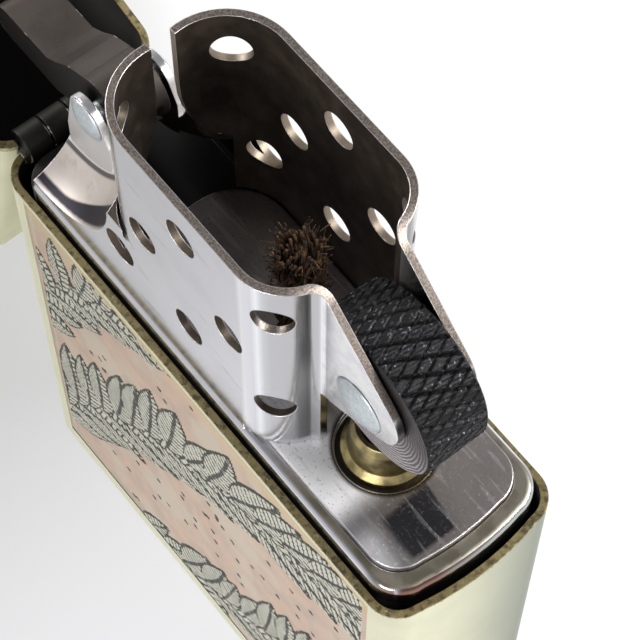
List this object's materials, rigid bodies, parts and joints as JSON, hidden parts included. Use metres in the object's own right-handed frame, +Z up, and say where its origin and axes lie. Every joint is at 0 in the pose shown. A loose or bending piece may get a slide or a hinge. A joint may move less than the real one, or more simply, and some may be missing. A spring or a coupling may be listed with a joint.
{
  "type": "windproof lighter",
  "caption": "Pocket windproof lighter: hinged lid on a sheet metal case, perforated chimney, striking wheel, sprung flint, wick and a cam that follows the lid.",
  "frame": {"origin": "middle of the case's flat bottom face", "axes": "+X from the hinge to the striking wheel, -Y the decorated front, +Z up through the chimney"},
  "size_m": [0.0775, 0.0121, 0.0537],
  "materials": {
    "plated_brass": "pale satin plating, worn to brass at the rims",
    "panel_plate": "copper ground with silvered relief",
    "hinge_steel": "dark, worn bright on the knuckles",
    "polished_sheet": "polished, sooty inside",
    "worn_sheet": "worn satin with dark pits",
    "dark_steel": "dark brown-grey, bright on worn edges",
    "rivet_steel": "matt, slightly domed",
    "wheel_steel": "cross-cut tread, turned faces",
    "tube_brass": "tarnished brass",
    "flint_stone": "matt black",
    "spring_steel": "drawn wire",
    "wick_fibre": "charred twisted fibre",
    "packing_fibre": "loose fibre, pressed",
    "felt": "pressed felt"
  },
  "bodies": {
    "case": {"case_shell": "plated_brass", "front_panel": "panel_plate", "case_hinge_leaf": "hinge_steel", "hinge_pin": "hinge_steel", "insert_shell": "polished_sheet", "deck_plate": "worn_sheet", "cam_rivet": "rivet_steel", "wheel_rivet": "rivet_steel", "cam_spring": "dark_steel", "flint_tube": "tube_brass", "flint_spring": "spring_steel", "flint_screw": "tube_brass", "wick": "wick_fibre", "cotton_packing": "packing_fibre", "felt_pad": "felt"},
    "lid": {"lid_shell": "plated_brass", "lid_hinge_leaf": "hinge_steel"},
    "lid_cam": {"cam": "dark_steel"},
    "wheel": {"striking_wheel": "wheel_steel"},
    "flint_body": {"flint": "flint_stone", "flint_plunger": "tube_brass"}
  },
  "joints": [
    {"name": "lid_hinge", "type": "hinge", "parent": "case", "child": "lid", "pos_m": [-0.0183, 0, 0.035], "axis": [0, 1, 0], "range_deg": [0, 164]},
    {"name": "cam_pivot", "type": "hinge", "parent": "case", "child": "lid_cam", "pos_m": [-0.013, 0, 0.0431], "axis": [0, 1, 0], "range_deg": [0, 86]},
    {"name": "wheel_spin", "type": "hinge", "parent": "case", "child": "wheel", "pos_m": [0.01045, 0, 0.0459], "axis": [0, 1, 0], "continuous": true},
    {"name": "flint_feed", "type": "slide", "parent": "case", "child": "flint_body", "axis": [0, 0, 1], "range_m": [-0.002, 0], "stiffness_N_per_m": 300, "springref_m": 0.008, "deforming": ["flint_spring"]}
  ],
  "couplings": [
    {"joint": "cam_pivot", "follows": "lid_hinge", "ratio": 0.524}
  ]
}
